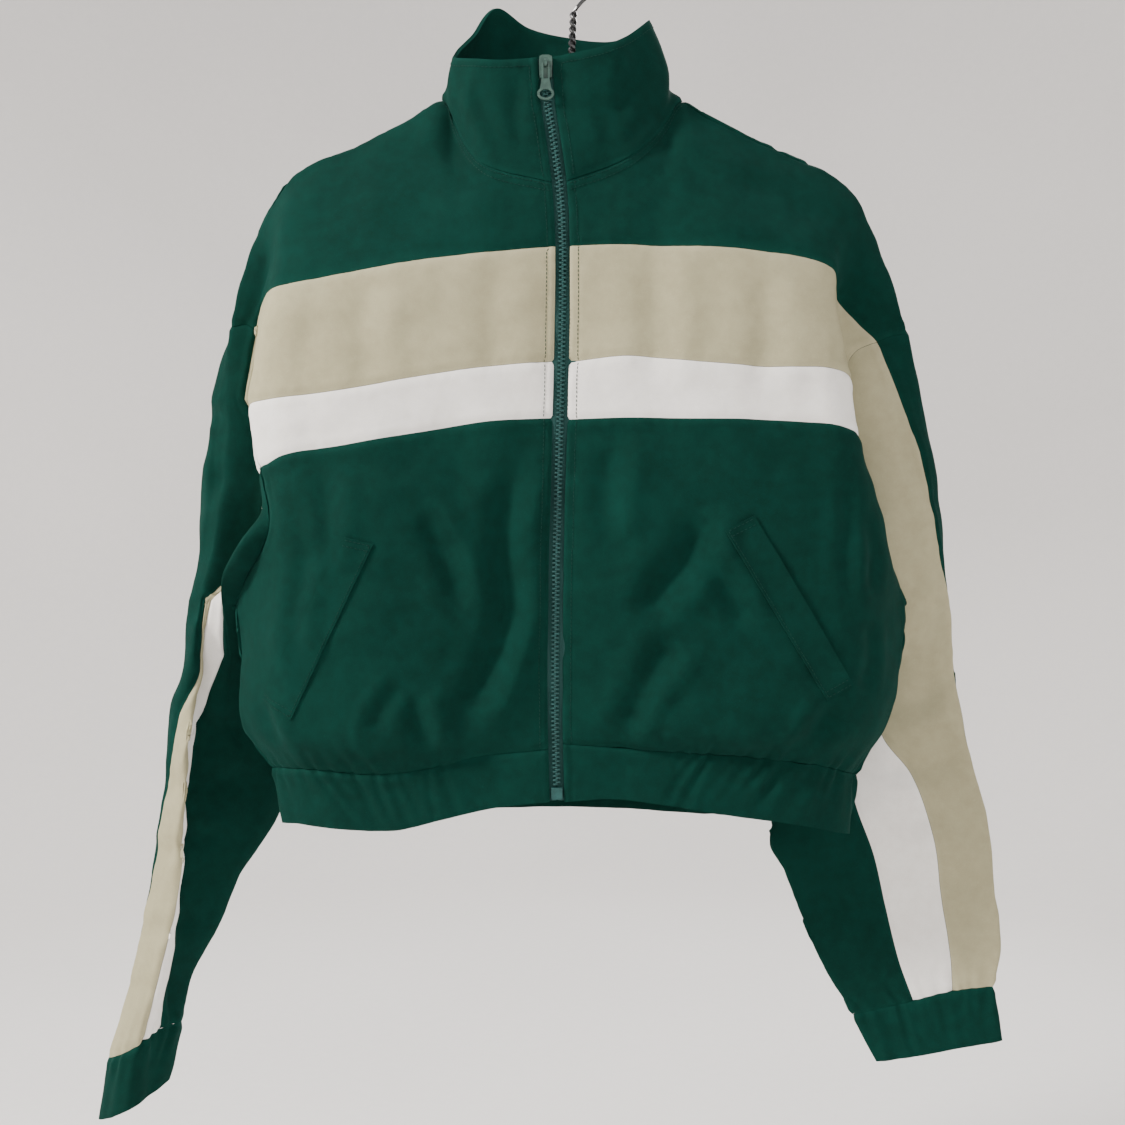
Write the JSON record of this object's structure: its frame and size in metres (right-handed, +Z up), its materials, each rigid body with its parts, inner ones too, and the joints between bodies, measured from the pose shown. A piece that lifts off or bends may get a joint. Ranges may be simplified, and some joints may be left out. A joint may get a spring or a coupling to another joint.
{
  "type": "full-zip sweatshirt on a wire hanger",
  "caption": "Cropped full-zip fleece sweatshirt with a stand collar, colour-blocked bands, slanted welt pockets and gathered hem and cuffs, hung on a twisted wire hanger.",
  "frame": {"origin": "inside top of the hanger's hook, where a rail would carry it", "axes": "+Z up, +X to the viewer's right when facing the zip, -Y towards the viewer who faces the zip"},
  "size_m": [0.7242, 0.144, 0.9169],
  "materials": {
    "green_fleece": "matt brushed cotton knit",
    "sage_fleece": "matt brushed cotton knit",
    "white_fleece": "matt brushed cotton knit",
    "zip_tape": "woven tape",
    "zip_teeth": "moulded, satin",
    "zip_metal": "smooth satin enamel",
    "hanger_wire": "glossy black coating"
  },
  "bodies": {
    "garment": {"front_right_yoke": "green_fleece", "front_right_sage": "sage_fleece", "front_right_white": "white_fleece", "front_right_lower": "green_fleece", "sleeve_right_top": "green_fleece", "sleeve_right_sage": "sage_fleece", "sleeve_right_white": "white_fleece", "sleeve_right_under": "green_fleece", "cuff_right": "green_fleece", "pocket_welt_right": "green_fleece", "zip_tape_right": "zip_tape", "front_left_yoke": "green_fleece", "front_left_sage": "sage_fleece", "front_left_white": "white_fleece", "front_left_lower": "green_fleece", "sleeve_left_top": "green_fleece", "sleeve_left_sage": "sage_fleece", "sleeve_left_white": "white_fleece", "sleeve_left_under": "green_fleece", "cuff_left": "green_fleece", "pocket_welt_left": "green_fleece", "zip_tape_left": "zip_tape", "back": "green_fleece", "collar": "green_fleece", "hem_band": "green_fleece", "zip_chain": "zip_teeth", "zip_slider": "zip_metal", "zip_box": "zip_teeth", "hanger": "hanger_wire"},
    "pull": {"zip_pull": "zip_metal"}
  },
  "joints": [
    {"name": "pull_tab_swing", "type": "hinge", "parent": "garment", "child": "pull", "pos_m": [-0.02276, -0.04211, -0.0967], "axis": [-1, 0, 0], "range_deg": [0, 170]}
  ]
}
